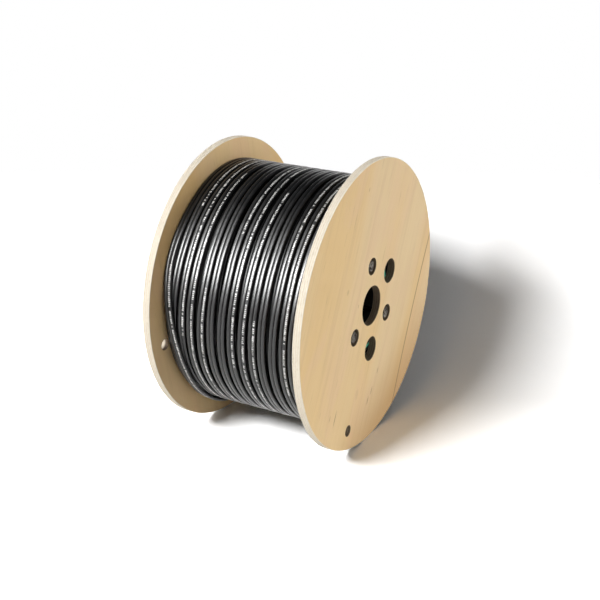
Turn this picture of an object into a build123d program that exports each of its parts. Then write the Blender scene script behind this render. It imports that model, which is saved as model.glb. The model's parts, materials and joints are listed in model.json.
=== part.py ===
from build123d import *
import math
import os

# Driving dimensions of the drum, in millimetres. The drum lies on its rims with its axle line along X.
traverse = 200.0

# Plywood flanges
flange_diameter = 380.0
flange_thickness = 10.0
flange_edge_break = 0.8
spindle_bore_diameter = 52.0
drive_circle_diameter = 121.0
drive_hole_diameter = 32.0
rim_hole_inset = 26.0
rim_hole_diameter = 14.5

# Barrel that the cable is wound on
barrel_diameter = 130.0
barrel_wall = 3.0

# Wound cable, a flat twin whose two cores lie side by side
cable_width = 10.6
crown_width = 8.6
turn_gap = 2.2
group_gap = 4.0
first_turn_gap = 8.2
groove_slope = 2.1
groove_depth = 4.4
least_groove_floor = 0.5
rim_above_winding = 28.0
winding_clearance = 0.2

# Tie rods, washers and thin nuts
rod_barrel_gap = 4.5
rod_diameter = 8.0
rod_stand_out = 0.6
rod_hole_clearance = 0.4
counterbore_diameter = 22.0
counterbore_depth = 6.0
washer_diameter = 20.0
washer_thickness = 1.2
washer_clearance = 0.2
nut_across_flats = 13.0
nut_height = 4.0
thread_clearance = 0.05

# Length by which every cutting tool runs past the wood
cut_overrun = 1.0

# Worked out: the rods stand inside the barrel, the rim holes and the winding keep their place below the rim
rod_circle_diameter = barrel_diameter - 2 * (barrel_wall + rod_barrel_gap) - rod_diameter
rim_hole_circle_diameter = flange_diameter - 2 * rim_hole_inset
winding_diameter = flange_diameter - 2 * rim_above_winding

# Angles in degrees, from +Y towards +Z, as seen from the near side
rod_angles = (90.0, -30.0, -150.0)
drive_angles = (30.0, -90.0)
near_rim_hole_angle = -112.0
far_rim_hole_angle = -167.0
nut_turn = 12.0

# Lay of the outer turns: they step part of the way to the next turn's place in front, and the rest behind
front_step_angle = 179.0
rear_step_angle = 339.0
front_step_share = 0.45
full_turn = 360.0
turns_before_gaps = (3, 6, 8, 10)

NEAR = 1
FAR = -1


def across(offset):
    """Plane square to the axle line, with its own x along +Y and its own y along +Z."""
    return Plane(origin=(offset, 0, 0), x_dir=(0, 1, 0), z_dir=(1, 0, 0))


def on_circle(diameter, angle):
    """Location on a circle about the axle line, within a plane square to it."""
    turn = math.radians(angle)
    return Pos(diameter / 2 * math.cos(turn), diameter / 2 * math.sin(turn))


def flange_holes(rim_hole_angle):
    """Outlines of the holes that go right through a flange."""
    holes = [Circle(spindle_bore_diameter / 2)]
    holes += [on_circle(drive_circle_diameter, a) * Circle(drive_hole_diameter / 2) for a in drive_angles]
    rod_hole = Circle(rod_diameter / 2 + rod_hole_clearance)
    holes += [on_circle(rod_circle_diameter, a) * rod_hole for a in rod_angles]
    holes.append(on_circle(rim_hole_circle_diameter, rim_hole_angle) * Circle(rim_hole_diameter / 2))
    return holes


def make_flange(side, rim_hole_angle):
    """Plywood disc with a broken rim, its through holes, and counterbores in its outer face."""
    inner_face = side * traverse / 2
    outer_face = inner_face + side * flange_thickness
    disc = extrude(across(inner_face) * Circle(flange_diameter / 2), amount=side * flange_thickness)
    disc = chamfer(disc.edges().filter_by(GeomType.CIRCLE), flange_edge_break)
    cut_start = inner_face - side * cut_overrun
    cut_length = side * (flange_thickness + 2 * cut_overrun)
    for hole in flange_holes(rim_hole_angle):
        disc -= extrude(across(cut_start) * hole, amount=cut_length)
    seat = outer_face - side * counterbore_depth
    for angle in rod_angles:
        mouth = on_circle(rod_circle_diameter, angle) * Circle(counterbore_diameter / 2)
        disc -= extrude(across(seat) * mouth, amount=side * (counterbore_depth + cut_overrun))
    return disc


def make_barrel():
    """Thin tube that butts against both flanges."""
    ring = Circle(barrel_diameter / 2) - Circle(barrel_diameter / 2 - barrel_wall)
    return extrude(across(-traverse / 2) * ring, amount=traverse)


def turn_places(half_width):
    """Middles of the outer layer's turns, from the near flange to the far one, in groups with wider gaps."""
    limit = half_width - cable_width / 2
    place = limit - first_turn_gap
    places = []
    while place > cable_width - limit:
        places.append(place)
        place -= cable_width + turn_gap
        if len(places) in turns_before_gaps:
            place -= group_gap
    return places + [-limit]


def winding_outline(places, half_width):
    """Half section of the winding, with a flat crown for each turn and a groove on both of its sides."""
    bore = barrel_diameter / 2 + winding_clearance
    crown = winding_diameter / 2
    groove = crown - groove_depth
    outline = [(-half_width, bore), (-half_width, groove)]
    for place in sorted(places):
        left, right = place - crown_width / 2, place + crown_width / 2
        foot, last = left - groove_slope, outline[-1][0]
        if foot > last + least_groove_floor:
            outline.append((foot, groove))
        elif len(outline) > 2:
            outline[-1] = ((outline[-2][0] + left) / 2, groove)
        outline += [(left, crown), (right, crown), (right + groove_slope, groove)]
    if outline[-1][0] < half_width:
        outline.append((half_width, groove))
    else:
        outline[-1] = (half_width, groove)
    outline.append((half_width, bore))
    return make_face(Polyline(*outline, close=True))


def make_winding():
    """Wound cable as one solid, turned in two part turns because the outer turns step across between them."""
    half_width = traverse / 2 - winding_clearance
    places = turn_places(half_width)
    stepped = [here + front_step_share * (there - here) for here, there in zip(places, places[1:])]
    rear_arc = front_step_angle - rear_step_angle + full_turn
    behind = Rot(rear_step_angle, 0, 0) * winding_outline(places, half_width)
    in_front = Rot(front_step_angle, 0, 0) * winding_outline(stepped, half_width)
    return revolve(behind, Axis.X, rear_arc) + revolve(in_front, Axis.X, full_turn - rear_arc)


def washer_seat(side):
    """Place along the axle line of a counterbore's floor, where its washer sits."""
    return side * (traverse / 2 + flange_thickness - counterbore_depth)


def make_tie_rod(angle):
    """Rod through both flanges, standing a little out of its nuts."""
    reach = washer_seat(NEAR) + washer_thickness + nut_height + rod_stand_out
    round_bar = on_circle(rod_circle_diameter, angle) * Circle(rod_diameter / 2)
    return extrude(across(-reach) * round_bar, amount=2 * reach)


def make_washer(side, angle):
    """Flat washer on the floor of a counterbore."""
    ring = Circle(washer_diameter / 2) - Circle(rod_diameter / 2 + washer_clearance)
    place = on_circle(rod_circle_diameter, angle)
    return extrude(across(washer_seat(side)) * place * ring, amount=side * washer_thickness)


def make_nut(side, angle):
    """Thin hexagon nut on its washer."""
    hexagon = RegularPolygon(nut_across_flats / 2, side_count=6, major_radius=False)
    section = hexagon - Circle(rod_diameter / 2 + thread_clearance)
    place = on_circle(rod_circle_diameter, angle) * Rot(0, 0, angle + nut_turn)
    seat = washer_seat(side) + side * washer_thickness
    return extrude(across(seat) * place * section, amount=side * nut_height)


parts = {
    "near_flange": make_flange(NEAR, near_rim_hole_angle),
    "far_flange": make_flange(FAR, far_rim_hole_angle),
    "barrel": make_barrel(),
    "cable_winding": make_winding(),
}
for number, angle in enumerate(rod_angles, start=1):
    parts[f"tie_rod_{number}"] = make_tie_rod(angle)
    for side, name in ((NEAR, "near"), (FAR, "far")):
        parts[f"{name}_washer_{number}"] = make_washer(side, angle)
        parts[f"{name}_nut_{number}"] = make_nut(side, angle)

os.makedirs("parts", exist_ok=True)
for name, part in parts.items():
    export_step(part, f"parts/{name}.step")
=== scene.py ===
"""Looks of a wooden cable drum: plywood flanges, a green barrel, wound flat twin cable and tie rods."""
import json
import logging
import math
from dataclasses import dataclass, field, replace
from enum import Enum
from typing import Any, Callable, Union

import bmesh
import bpy
from mathutils import Matrix, Vector, noise
from mathutils.geometry import delaunay_2d_cdt


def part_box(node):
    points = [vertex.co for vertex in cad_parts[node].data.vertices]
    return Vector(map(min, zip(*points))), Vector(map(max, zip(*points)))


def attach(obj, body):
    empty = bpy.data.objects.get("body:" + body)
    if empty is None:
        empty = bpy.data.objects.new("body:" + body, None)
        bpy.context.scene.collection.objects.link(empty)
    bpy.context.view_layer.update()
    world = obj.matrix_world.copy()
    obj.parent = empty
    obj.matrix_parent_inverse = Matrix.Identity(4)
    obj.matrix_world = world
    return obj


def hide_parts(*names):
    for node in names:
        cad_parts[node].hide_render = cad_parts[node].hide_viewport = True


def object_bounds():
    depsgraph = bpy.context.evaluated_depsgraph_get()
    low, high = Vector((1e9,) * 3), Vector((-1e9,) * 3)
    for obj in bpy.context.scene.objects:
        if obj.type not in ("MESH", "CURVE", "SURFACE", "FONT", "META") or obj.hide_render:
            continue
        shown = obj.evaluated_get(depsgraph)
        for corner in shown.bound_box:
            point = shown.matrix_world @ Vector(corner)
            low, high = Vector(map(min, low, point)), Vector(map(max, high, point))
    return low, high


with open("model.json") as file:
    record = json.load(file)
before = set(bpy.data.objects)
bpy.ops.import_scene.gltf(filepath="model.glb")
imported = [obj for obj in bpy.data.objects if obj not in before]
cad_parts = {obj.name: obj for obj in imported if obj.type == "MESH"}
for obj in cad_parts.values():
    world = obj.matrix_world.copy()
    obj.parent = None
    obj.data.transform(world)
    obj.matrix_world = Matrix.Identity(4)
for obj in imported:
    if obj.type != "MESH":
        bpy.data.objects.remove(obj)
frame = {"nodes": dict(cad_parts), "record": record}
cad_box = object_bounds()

LOG = logging.getLogger("cable_drum")
BODY = "root"
RODS = (1, 2, 3)
CLEAN_HOLE = "far_rim_hole"
FULL_TURN = 2 * math.pi
MERGE_DISTANCE = 1e-7
FILL_TOLERANCE = 1e-9
WHITE = (1.0, 1.0, 1.0)

Colour = tuple[float, float, float]
Place = tuple[float, float]
Spot = tuple[Vector, float, float]
Station = tuple[Vector, float]
Faces = list[tuple[int, ...]]
Value = Union["Sock", float, Colour]
Recipe = tuple[bpy.types.NodeTree, dict[str, str]]


class Side(Enum):
    """The drum's two ends, with the sign of their place along the axle line."""

    NEAR = 1
    FAR = -1

    @property
    def word(self) -> str:
        """The word that starts the names of this end's CAD nodes."""
        return self.name.lower()


class Skin(Enum):
    """The surfaces of a flange, with the numbers of their materials."""

    FACE = 0
    RIM = 1
    HOLE = 2
    CLEAN_HOLE = 3


class Slot(Enum):
    """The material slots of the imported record."""

    FLANGE = "flange_plywood"
    BARREL = "barrel_board"
    CABLE = "cable_sheath"
    STEEL = "tie_steel"


def math_method(operation: str, swapped: bool = False) -> Callable[..., "Sock"]:
    """A method of Sock that adds a Math node.

    Args:
        operation: The Math node's operation.
        swapped: Whether the other value comes first, as in a reflected operator.

    Returns:
        The method, which takes another value where the operation needs one.
    """
    def method(self: "Sock", other: Value = 0.0) -> "Sock":
        """Add the Math node."""
        return self.math(operation, other, swapped)

    return method


class Sock:
    """An output socket of a node that takes part in Python arithmetic."""

    def __init__(self, graph: "Graph", socket: bpy.types.NodeSocket) -> None:
        """Keep the socket and the graph that it belongs to."""
        self.graph = graph
        self.socket = socket

    def also(self, name: str) -> "Sock":
        """Another output of the same node."""
        return Sock(self.graph, self.socket.node.outputs[name])

    def math(self, operation: str, other: Value = 0.0, swapped: bool = False) -> "Sock":
        """Add a Math node.

        Args:
            operation: The Math node's operation.
            other: The second value, for operations that take one.
            swapped: Whether the other value comes first.

        Returns:
            The node's result.
        """
        values = {0: other, 1: self} if swapped else {0: self, 1: other}
        return self.graph.node("ShaderNodeMath", {"operation": operation}, values)

    __add__, __radd__ = math_method("ADD"), math_method("ADD", True)
    __sub__, __rsub__ = math_method("SUBTRACT"), math_method("SUBTRACT", True)
    __mul__, __rmul__ = math_method("MULTIPLY"), math_method("MULTIPLY", True)
    __truediv__, __gt__, __lt__ = map(math_method, ("DIVIDE", "GREATER_THAN", "LESS_THAN"))
    __abs__, floor, fraction, root = map(math_method, ("ABSOLUTE", "FLOOR", "FRACT", "SQRT"))
    most = math_method("MAXIMUM")


class Graph:
    """A node tree whose nodes come from one method."""

    def __init__(self, tree: bpy.types.NodeTree) -> None:
        """Keep the tree that the nodes go into."""
        self.tree = tree

    def node(
        self,
        kind: str,
        settings: dict[str, Any] | None = None,
        sockets: dict[int | str, Any] | None = None,
        out: int | str = 0,
    ) -> Sock | None:
        """Add a node.

        Args:
            kind: The node's type.
            settings: The node's own properties, set first.
            sockets: Values or links of its input sockets, by name or number.
            out: The output to give back, by name or number.

        Returns:
            The chosen output, or None for a node that has none.
        """
        made = self.tree.nodes.new(kind)
        for name, value in (settings or {}).items():
            setattr(made, name, value)
        for name, value in (sockets or {}).items():
            self.plug(value, made.inputs[name])
        return Sock(self, made.outputs[out]) if made.outputs else None

    def plug(self, value: Any, socket: bpy.types.NodeSocket) -> None:
        """Link a value to an input socket, or set it there.

        Args:
            value: A Sock to link, or a plain value.
            socket: The input socket.
        """
        if isinstance(value, Sock):
            self.tree.links.new(value.socket, socket)
        elif socket.type == "RGBA":
            socket.default_value = (*value, 1.0)
        else:
            socket.default_value = value

    def axes(self) -> tuple[Sock, Sock, Sock]:
        """The Object coordinates as three values.

        Returns:
            The places along X, Y and Z.
        """
        place = self.node("ShaderNodeTexCoord", out="Object")
        split = self.node("ShaderNodeSeparateXYZ", sockets={0: place}, out="X")
        return split, split.also("Y"), split.also("Z")

    def vector(self, x: Value, y: Value, z: Value = 0.0) -> Sock:
        """Three values as one vector."""
        return self.node("ShaderNodeCombineXYZ", sockets={0: x, 1: y, 2: z})

    def noise(self, place: Sock, scale: float = 1.0, detail: float = 2.0, warp: float = 0.0) -> Sock:
        """Add a noise texture.

        Args:
            place: The coordinates that it reads.
            scale: How fine it is.
            detail: How many finer layers it has.
            warp: How much it is distorted.

        Returns:
            Its value, from 0 to 1.
        """
        sockets = {"Vector": place, "Scale": scale, "Detail": detail, "Distortion": warp}
        return self.node("ShaderNodeTexNoise", sockets=sockets)

    def streaks(self, fineness: Place, detail: float = 2.0) -> Sock:
        """Noise with one fineness along the axle line and another across it.

        Args:
            fineness: How fine it is along the line and across it.
            detail: How many finer layers it has.

        Returns:
            Its value, from 0 to 1.
        """
        x, y, z = self.axes()
        along, across = fineness
        return self.noise(self.vector(x * along, y * across, z * across), detail=detail)

    def chance(self, cell: Sock, salt: float) -> Sock:
        """A number from 0 to 1 that is the same all over a numbered cell."""
        return self.node("ShaderNodeTexWhiteNoise", {"noise_dimensions": "1D"}, {"W": cell + salt})

    def step(self, value: Value, low: float, high: float) -> Sock:
        """A smooth step from 0 at the low value to 1 at the high one."""
        limits = {"Value": value, "From Min": low, "From Max": high}
        return self.node("ShaderNodeMapRange", {"interpolation_type": "SMOOTHSTEP"}, limits)

    def blend(self, share: Value, first: Value, second: Value) -> Sock:
        """Mix two colours.

        Args:
            share: How much of the second colour there is.
            first: The first colour.
            second: The second colour.

        Returns:
            The mixed colour.
        """
        settings = {"data_type": "RGBA", "blend_type": "MIX", "clamp_factor": True}
        return self.node("ShaderNodeMix", settings, {0: share, 6: first, 7: second}, 2)

    def bump(self, height: Sock, distance: float) -> Sock:
        """A normal that follows a height, given in metres for a value of 1."""
        return self.node("ShaderNodeBump", sockets={"Height": height, "Distance": distance, "Strength": 1.0})

    def looked_at(self) -> Sock:
        """One for rays from the camera, from reflections and through clear things, else zero."""
        rays = self.node("ShaderNodeLightPath", out="Is Camera Ray")
        return rays.most(rays.also("Is Glossy Ray")).most(rays.also("Is Transmission Ray"))

    def principled(self, **sockets: Value) -> Sock:
        """A Principled shader, with underscores for the spaces in its sockets' names."""
        named = {name.replace("_", " "): value for name, value in sockets.items()}
        return self.node("ShaderNodeBsdfPrincipled", sockets=named)


class Finish:
    """A procedural material. Each finish of the drum is a dataclass built on this."""

    name = "finish"

    def surface(self, graph: Graph) -> Sock:
        """The shader of the finish."""
        raise NotImplementedError

    def material(self) -> bpy.types.Material:
        """Build the material.

        Returns:
            A new material with this finish's nodes.
        """
        made = bpy.data.materials.new(self.name)
        made.use_nodes = True
        made.node_tree.nodes.clear()
        graph = Graph(made.node_tree)
        graph.node("ShaderNodeOutputMaterial", sockets={"Surface": self.surface(graph)})
        return made


@dataclass(frozen=True)
class Mark:
    """A small dark mark in the veneer, longest along the grain."""

    y: float
    z: float
    half_length: float
    half_width: float
    strength: float


@dataclass(frozen=True)
class VeneerFinish(Finish):
    """Face veneer of the plywood: pale, straight-grained, sanded.

    The pairs from bands to mark_edge say how fine a pattern is across the grain and along it.
    """

    name: str = "veneer"
    pale: Colour = (0.78, 0.59, 0.34)
    honey: Colour = (0.78, 0.55, 0.27)
    blush: Colour = (0.78, 0.54, 0.34)
    late_wood: Colour = (0.55, 0.36, 0.19)
    dark_fleck: Colour = (0.24, 0.13, 0.06)
    # painted shade: the colour that the face darkens to towards its lower edge
    aged: Colour = (0.58, 0.36, 0.165)
    bands: Place = (9.0, 1.6)
    patches: Place = (26.0, 9.0)
    late_lines: Place = (105.0, 4.5)
    fibres: Place = (900.0, 16.0)
    flecks: Place = (520.0, 26.0)
    mark_edge: Place = (220.0, 60.0)
    mark_wander: float = 1.4
    patch_share: float = 0.4
    late_share: float = 0.18
    fibre_share: float = 0.14
    fleck_share: float = 0.22
    beyond_share: float = 0.2
    line_share: float = 0.66
    relief: float = 0.00012
    grain_angle: float = math.radians(27)
    joint: float = 0.1455
    joint_bow: float = -0.0035
    joint_reach: float = 0.115
    joint_half_width: float = 0.0022
    joint_core_share: float = 0.3
    joint_fade: float = 0.002
    marked_from: float = 0.105
    marked_fade: float = 0.001
    aged_share: float = 0.0
    aged_angle: float = math.radians(52)
    aged_from: float = 0.085
    aged_to: float = 0.2
    layer_change: float = 40.0
    shift: float = 0.0
    marks: tuple[Mark, ...] = ()

    def along_across(self, y: Value, z: Value) -> tuple[Value, Value]:
        """A place on the face along the grain and across it."""
        sine, cosine = math.sin(self.grain_angle), math.cos(self.grain_angle)
        return y * sine + z * cosine, y * cosine - z * sine

    def mark_mask(self, graph: Graph, along: Sock, across: Sock) -> Value:
        """How much each place is darkened by the marks.

        Args:
            graph: The material's graph.
            along: The place along the grain.
            across: The place across the grain.

        Returns:
            A value from 0 to 1.
        """
        fine, long = self.mark_edge
        wander = (graph.noise(graph.vector(across * fine, along * long), detail=3.0) - 0.5) * self.mark_wander
        mask: Value = 0.0
        for mark in self.marks:
            mark_along, mark_across = self.along_across(mark.y, mark.z)
            run = (along - mark_along) / mark.half_length
            off = (across - mark_across) / mark.half_width + wander
            spot = 1 - graph.step((run * run + off * off).root(), 0.35, 1.0)
            mask = (spot * mark.strength).most(mask)
        return mask

    def surface(self, graph: Graph) -> Sock:
        """The shader: soft bands, late-wood lines, fibres, a veneer joint, painted shade towards one lower
        edge and a few marks.

        Args:
            graph: The material's graph.

        Returns:
            The shader's output.
        """
        x, y, z = graph.axes()
        along, across = self.along_across(y, z)
        level = x * self.layer_change + self.shift

        def grain(fineness: Place, layer: float, detail: float, warp: float = 0.0) -> Sock:
            """Noise that is drawn out along the grain."""
            fine, long = fineness
            return graph.noise(graph.vector(across * fine, along * long, level + layer), 1.0, detail, warp)

        patch = grain(self.patches, 7.0, 3.0, 0.6)
        late = grain(self.late_lines, 3.0, 3.0, 0.4)
        fibre = grain(self.fibres, 0.0, 3.0)
        fleck = graph.step(grain(self.flecks, 2.0, 2.0), 0.66, 0.76)
        late_lines = graph.step(late, 0.48, 0.74) * self.late_share
        lines = late_lines + graph.step(fibre, 0.45, 0.8) * self.fibre_share
        colour = graph.blend(graph.step(grain(self.bands, 0.0, 2.0), 0.35, 0.65), self.pale, self.honey)
        colour = graph.blend(graph.step(patch, 0.45, 0.7) * self.patch_share, colour, self.blush)
        colour = graph.blend(lines, colour, self.late_wood)
        colour = graph.blend(fleck * self.fleck_share, colour, self.dark_fleck)
        outer = graph.step(x, self.marked_from, self.marked_from + self.marked_fade)
        share = along / self.joint_reach
        offset = across - self.joint - (1 - share * share) * self.joint_bow
        beyond = graph.step(offset, 0.0, self.joint_fade) * outer
        colour = graph.blend(beyond * self.beyond_share, colour, self.blush)
        # Painted shade: the face darkens towards its lower edge, where the floor beside it lies in shadow.
        if self.aged_share:
            lower = across * math.sin(self.aged_angle) - along * math.cos(self.aged_angle)
            aged = graph.step(lower, self.aged_from, self.aged_to) * outer
            colour = graph.blend(aged * self.aged_share, colour, self.aged)
        half = self.joint_half_width
        line = (1 - graph.step(abs(offset), half * self.joint_core_share, half)) * outer
        spots = self.mark_mask(graph, along, across) * outer
        colour = graph.blend((line * self.line_share).most(spots), colour, self.dark_fleck)
        rough = 0.52 + fibre * 0.2
        height = fibre * 0.5 - fleck * 0.6 - line * 1.5 - spots * 2.0
        return graph.principled(Base_Color=colour, Roughness=rough, Normal=graph.bump(height, self.relief))


@dataclass(frozen=True)
class PlyEdgeFinish(Finish):
    """Sawn edge of the plywood: plies that show side grain and end grain in turn, with dark glue lines."""

    name: str = "ply_edge"
    side_grain: Colour = (0.88, 0.81, 0.68)
    end_grain: Colour = (0.84, 0.74, 0.58)
    glue: Colour = (0.56, 0.42, 0.27)
    inner_face: float = 0.1
    thickness: float = 0.01
    plies: int = 7
    grain_angle: float = math.radians(27)
    speckle: Place = (900.0, 260.0)
    speckle_share: float = 0.2
    end_speckle_share: float = 0.3
    ragged: Place = (200.0, 90.0)
    glue_share: float = 0.5
    glue_depth: float = 0.8
    roughness: float = 0.7
    gloss: float = 0.12
    relief: float = 0.00015
    rubbed: Colour = (0.22, 0.14, 0.08)
    rubbed_share: float = 0.0

    def surface(self, graph: Graph) -> Sock:
        """The shader: plies by their place along the axle line, and saw marks.

        Args:
            graph: The material's graph.

        Returns:
            The shader's output.
        """
        x, _, _ = graph.axes()
        ply = (abs(x) - self.inner_face) * (self.plies / self.thickness)
        place = ply.fraction()
        odd = (ply * 0.5).fraction() > 0.5
        normal = graph.node("ShaderNodeNewGeometry", out="Normal")
        facing = graph.node("ShaderNodeSeparateXYZ", sockets={0: normal}, out="X")
        turn = facing.also("Y") * math.sin(self.grain_angle) + facing.also("Z") * math.cos(self.grain_angle)
        lengthwise = turn * turn
        end = odd * (1 - lengthwise) + (1 - odd) * lengthwise
        speckle = graph.streaks(self.speckle, 4.0)
        speckle_share = self.speckle_share + end * self.end_speckle_share
        colour = graph.blend(graph.step(end, 0.1, 0.9), self.side_grain, self.end_grain)
        colour = graph.blend(graph.step(speckle, 0.45, 0.8) * speckle_share, colour, self.glue)
        near_line = graph.step(abs(place - 0.5), 0.40, 0.5)
        ragged = graph.step(graph.streaks(self.ragged), 0.35, 0.6)
        colour = graph.blend(near_line * ragged * self.glue_share, colour, self.glue)
        # Painted shade: the wall darkens over its inner half, deeper in the hole.
        if self.rubbed_share:
            outward = graph.step((abs(x) - self.inner_face) / self.thickness, 0.35, 0.6)
            colour = graph.blend((1 - outward) * self.rubbed_share, colour, self.rubbed)
        normal = graph.bump(speckle - near_line * self.glue_depth, self.relief)
        return graph.principled(
            Base_Color=colour, Roughness=self.roughness, Specular_IOR_Level=self.gloss, Normal=normal
        )


@dataclass(frozen=True)
class SheathFinish(Finish):
    """Satin black sheath, with a broken line of plain white marks along one core."""

    name: str = "sheath"
    printed: bool = False
    black: Colour = (0.007, 0.007, 0.0075)
    dust: Colour = (0.022, 0.022, 0.021)
    ink: Colour = (0.70, 0.70, 0.68)
    faded_ink: Colour = (0.26, 0.26, 0.25)
    gloss: float = 0.5
    mark_centre: float = 0.383
    mark_height: float = 0.068
    mark_jitter: float = 0.24
    mark_pitch: float = 0.0024
    run_length: float = 0.83
    run_share: float = 0.5
    gap_share: float = 0.16
    dust_share: float = 0.25
    smear_scale: float = 60.0
    grit_scale: float = 700.0
    ink_wear_scale: float = 220.0
    roughness: float = 0.29
    smear_roughness: float = 0.06
    ink_roughness: float = 0.15
    relief: float = 0.00001

    def print_mask(self, graph: Graph) -> Sock:
        """Where the white marks are: blocks of chance height and width, in runs along the cable.

        Args:
            graph: The material's graph.

        Returns:
            A value from 0 to 1.
        """
        along, around = (
            graph.node("ShaderNodeAttribute", {"attribute_name": name}, out="Fac")
            for name in ("along", "around")
        )
        cells = along / self.mark_pitch
        cell = cells.floor()
        tall_salt, wide_salt, word_salt, shift_salt = 0.5, 20.5, 40.5, 60.5
        shift = (graph.chance(cell, shift_salt) - 0.5) * self.mark_jitter
        off = abs((around - self.mark_centre) / self.mark_height + shift)
        tall = off < graph.chance(cell, tall_salt) * 0.2 + 0.28
        wide = abs(cells.fraction() - 0.5) < graph.chance(cell, wide_salt) * 0.26 + 0.22
        word = graph.chance(cell, word_salt) > self.gap_share
        run = (along / self.run_length).fraction() < self.run_share
        return tall * wide * word * run

    def surface(self, graph: Graph) -> Sock:
        """The shader: black with faint dust and rubbed gloss, and the marks where they are printed.

        Args:
            graph: The material's graph.

        Returns:
            The shader's output.
        """
        x, y, z = graph.axes()
        place = graph.vector(x, y, z)
        smear = graph.noise(place, self.smear_scale, 3.0)
        colour = graph.blend(graph.step(smear, 0.5, 0.8) * self.dust_share, self.black, self.dust)
        rough = self.roughness + graph.step(smear, 0.35, 0.75) * self.smear_roughness
        normal = graph.bump(graph.noise(place, self.grit_scale), self.relief)
        if self.printed:
            mask = self.print_mask(graph)
            worn = graph.step(graph.noise(place, self.ink_wear_scale), 0.42, 0.68)
            colour = graph.blend(mask, colour, graph.blend(worn, self.ink, self.faded_ink))
            rough = rough + mask * self.ink_roughness
        return graph.principled(
            Base_Color=colour, Roughness=rough, Specular_IOR_Level=self.gloss, Normal=normal
        )


@dataclass(frozen=True)
class ZincFinish(Finish):
    """Dull zinc plating with a brownish tinge in its stains, and painted shade inside the barrel."""

    name: str = "zinc"
    bright: Colour = (0.24, 0.22, 0.19)
    stained: Colour = (0.045, 0.035, 0.028)
    blackened: Colour = (0.006, 0.005, 0.005)
    barrel_end: float = 0.1
    stain_scale: float = 160.0
    spangle_scale: float = 900.0
    roughness: float = 0.34
    relief: float = 0.00003

    def surface(self, graph: Graph) -> Sock:
        """The shader: spangled grey metal, stained in patches.

        Args:
            graph: The material's graph.

        Returns:
            The shader's output.
        """
        x, y, z = graph.axes()
        place = graph.vector(x, y, z)
        stain = graph.noise(place, self.stain_scale, 4.0)
        spangle = graph.noise(place, self.spangle_scale)
        colour = graph.blend(graph.step(stain, 0.38, 0.62), self.bright, self.stained)
        # Painted shade: the rods go near black inside the barrel, where light does not reach them.
        colour = graph.blend(abs(x) < self.barrel_end, colour, self.blackened)
        rough = self.roughness + stain * 0.2 + spangle * 0.1
        normal = graph.bump(spangle, self.relief)
        return graph.principled(Base_Color=colour, Metallic=1.0, Roughness=rough, Normal=normal)


@dataclass(frozen=True)
class TubeFinish(Finish):
    """Green tube of the barrel, wound on a slant, with scuffs and painted shade on its inside."""

    name: str = "green_tube"
    green: Colour = (0.05, 0.40, 0.27)
    scuffed: Colour = (0.25, 0.56, 0.44)
    lining: Colour = (0.012, 0.016, 0.014)
    strip_width: float = 0.045
    slant: float = 0.6
    lining_radius: float = 0.0625
    end: float = 0.0995
    scuffs: Place = (40.0, 260.0)
    scuff_share: float = 0.5
    edge_share: float = 0.4
    roughness: float = 0.4
    relief: float = 0.0001

    def surface(self, graph: Graph) -> Sock:
        """The shader: strips on a slant with fine edges, pale scuffs, and painted shade inside.

        Args:
            graph: The material's graph.

        Returns:
            The shader's output.
        """
        x, y, z = graph.axes()
        turn = y.math("ARCTAN2", z) / FULL_TURN
        strip = (x / self.strip_width + turn * self.slant).fraction()
        edge = graph.step(abs(strip - 0.5), 0.485, 0.5)
        scuff = graph.streaks(self.scuffs, 4.0)
        colour = graph.blend(graph.step(scuff, 0.5, 0.75) * self.scuff_share, self.green, self.scuffed)
        colour = graph.blend(edge * self.edge_share, colour, self.scuffed)
        # Painted shade: the tube's inside goes near black, where it lies in shade.
        inside = ((y * y + z * z).root() < self.lining_radius) * (abs(x) < self.end)
        colour = graph.blend(inside, colour, self.lining)
        rough = self.roughness + scuff * 0.25
        normal = graph.bump(scuff - edge, self.relief)
        return graph.principled(Base_Color=colour, Roughness=rough, Normal=normal)


def add_object(name: str, mesh: bpy.types.Mesh) -> bpy.types.Object:
    """Put a mesh into the scene as an object at the origin.

    Args:
        name: The object's name.
        mesh: Its mesh.

    Returns:
        The new object.
    """
    made = bpy.data.objects.new(name, mesh)
    bpy.context.collection.objects.link(made)
    return made


def settle(piece: bpy.types.Object, nodes: tuple[str, ...] = ()) -> None:
    """Tie a finished piece to the drum's one body and report it.

    Args:
        piece: The finished object.
        nodes: The CAD nodes that it stands for.
    """
    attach(piece, BODY)
    if nodes:
        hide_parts(*nodes)
    piece.data.calc_loop_triangles()
    count = len(piece.data.loop_triangles)
    LOG.info("%s: %d triangles, stands for %s", piece.name, count, nodes or "no node")


def mesh_from(name: str, verts: list[Vector], faces: Faces, smooth: bool = True) -> bpy.types.Mesh:
    """Build a mesh with its faces pointing outwards.

    Args:
        name: The mesh's name.
        verts: Its points.
        faces: Its faces, as numbers of points.
        smooth: Whether its faces are shaded smooth.

    Returns:
        The new mesh.
    """
    mesh = bpy.data.meshes.new(name)
    mesh.from_pydata(verts, [], faces)
    work = bmesh.new()
    work.from_mesh(mesh)
    bmesh.ops.remove_doubles(work, verts=work.verts, dist=MERGE_DISTANCE)
    bmesh.ops.recalc_face_normals(work, faces=work.faces)
    for face in work.faces:
        face.smooth = smooth
    work.to_mesh(mesh)
    work.free()
    return mesh


def new_tree(name: str, inputs: dict[str, str], output: str) -> tuple[Graph, Sock, dict[str, str]]:
    """Start a Geometry Nodes tree.

    Args:
        name: The tree's name.
        inputs: Its inputs with their socket types, the geometry first.
        output: The name of the geometry that it gives back.

    Returns:
        The tree's graph, its first input, and the identifiers of its inputs by name.
    """
    tree = bpy.data.node_groups.new(name, "GeometryNodeTree")
    names = {
        label: tree.interface.new_socket(label, in_out="INPUT", socket_type=kind).identifier
        for label, kind in inputs.items()
    }
    tree.interface.new_socket(output, in_out="OUTPUT", socket_type="NodeSocketGeometry")
    graph = Graph(tree)
    return graph, graph.node("NodeGroupInput"), names


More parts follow.
